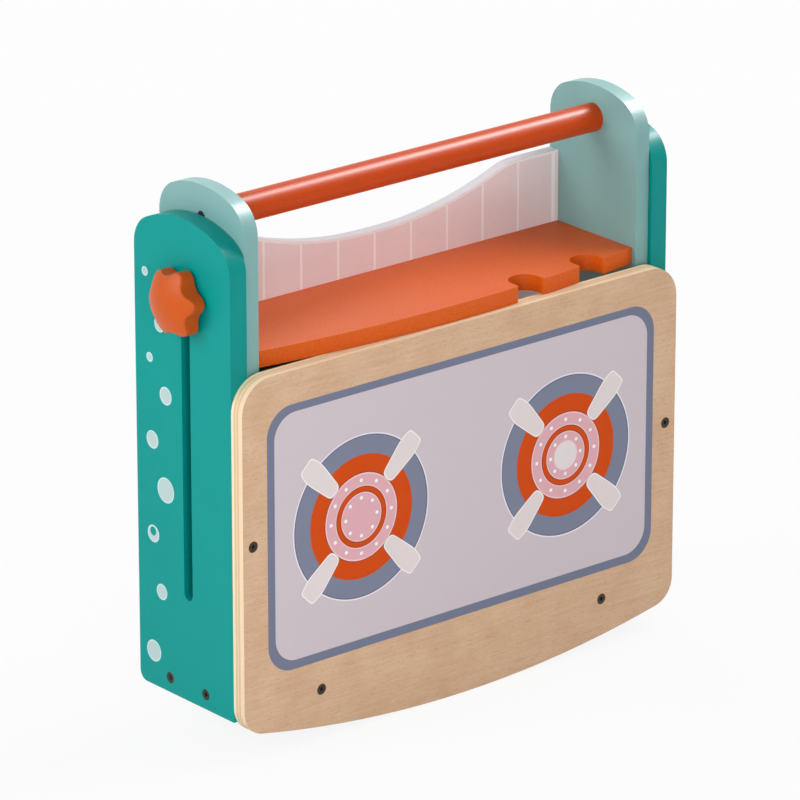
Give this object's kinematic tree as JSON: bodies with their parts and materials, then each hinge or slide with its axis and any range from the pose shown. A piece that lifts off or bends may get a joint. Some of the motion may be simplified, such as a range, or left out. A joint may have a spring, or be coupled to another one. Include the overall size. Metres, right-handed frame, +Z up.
{
  "type": "toy oven",
  "caption": "Wooden toy cooker box with a printed hob panel, side slots with star knobs, and a nested lift-out caddy with grip rod, notched shelf and splashback.",
  "frame": {"origin": "middle of the bounding box in width and depth, at the lowest point of the hob panel's curved lower edge", "axes": "+Z up in the carrying position, +X to the right seen from the hob side, hob panel faces -Y"},
  "size_m": [0.4414, 0.118, 0.405],
  "materials": {
    "teal_lacquer": "satin teal lacquer on MDF",
    "pale_teal_lacquer": "satin pale teal lacquer on MDF",
    "birch_ply": "clear-coated birch plywood with a printed hob",
    "orange_lacquer": "satin orange lacquer on wood",
    "rod_lacquer": "gloss orange lacquer on beech",
    "tile_print": "pale pink print on white-lacquered MDF",
    "black_screw": "black oxide steel",
    "zinc_steel": "bright zinc-plated steel",
    "brass": "turned brass",
    "knob_plastic": "fine-textured orange moulding"
  },
  "bodies": {
    "carcase": {"left_side_board": "teal_lacquer", "right_side_board": "teal_lacquer", "front_hob_panel": "birch_ply", "bottom_board": "teal_lacquer", "panel_side_screws": "black_screw", "panel_bottom_screws": "black_screw", "left_bottom_screws": "black_screw", "right_bottom_screws": "black_screw"},
    "caddy": {"left_end_board": "pale_teal_lacquer", "right_end_board": "pale_teal_lacquer", "carry_rod": "rod_lacquer", "utensil_shelf": "orange_lacquer", "splashback": "tile_print", "rod_screws": "black_screw", "shelf_end_screws": "black_screw", "shelf_back_screws": "black_screw", "left_splashback_screws": "black_screw", "right_splashback_screws": "black_screw"},
    "left_clamp": {"left_clamp_bolt": "zinc_steel", "left_clamp_washer": "zinc_steel"},
    "right_clamp": {"right_clamp_bolt": "zinc_steel", "right_clamp_washer": "zinc_steel"},
    "left_knob": {"left_star_knob": "knob_plastic", "left_knob_insert": "brass"},
    "right_knob": {"right_star_knob": "knob_plastic", "right_knob_insert": "brass"}
  },
  "joints": [
    {"name": "caddy_lift", "type": "slide", "parent": "carcase", "child": "caddy", "axis": [0, 0, 1], "range_m": [0, 0.2172]},
    {"name": "left_clamp_slide", "type": "slide", "parent": "carcase", "child": "left_clamp", "axis": [0, 0, 1], "range_m": [-0.2172, 0]},
    {"name": "right_clamp_slide", "type": "slide", "parent": "carcase", "child": "right_clamp", "axis": [0, 0, 1], "range_m": [-0.2172, 0]},
    {"name": "left_knob_turn", "type": "hinge", "parent": "left_clamp", "child": "left_knob", "pos_m": [-0.2, 0.0026, 0.3252], "axis": [-1, 0, 0], "continuous": true},
    {"name": "right_knob_turn", "type": "hinge", "parent": "right_clamp", "child": "right_knob", "pos_m": [0.2, 0.0026, 0.3252], "axis": [1, 0, 0], "continuous": true}
  ]
}
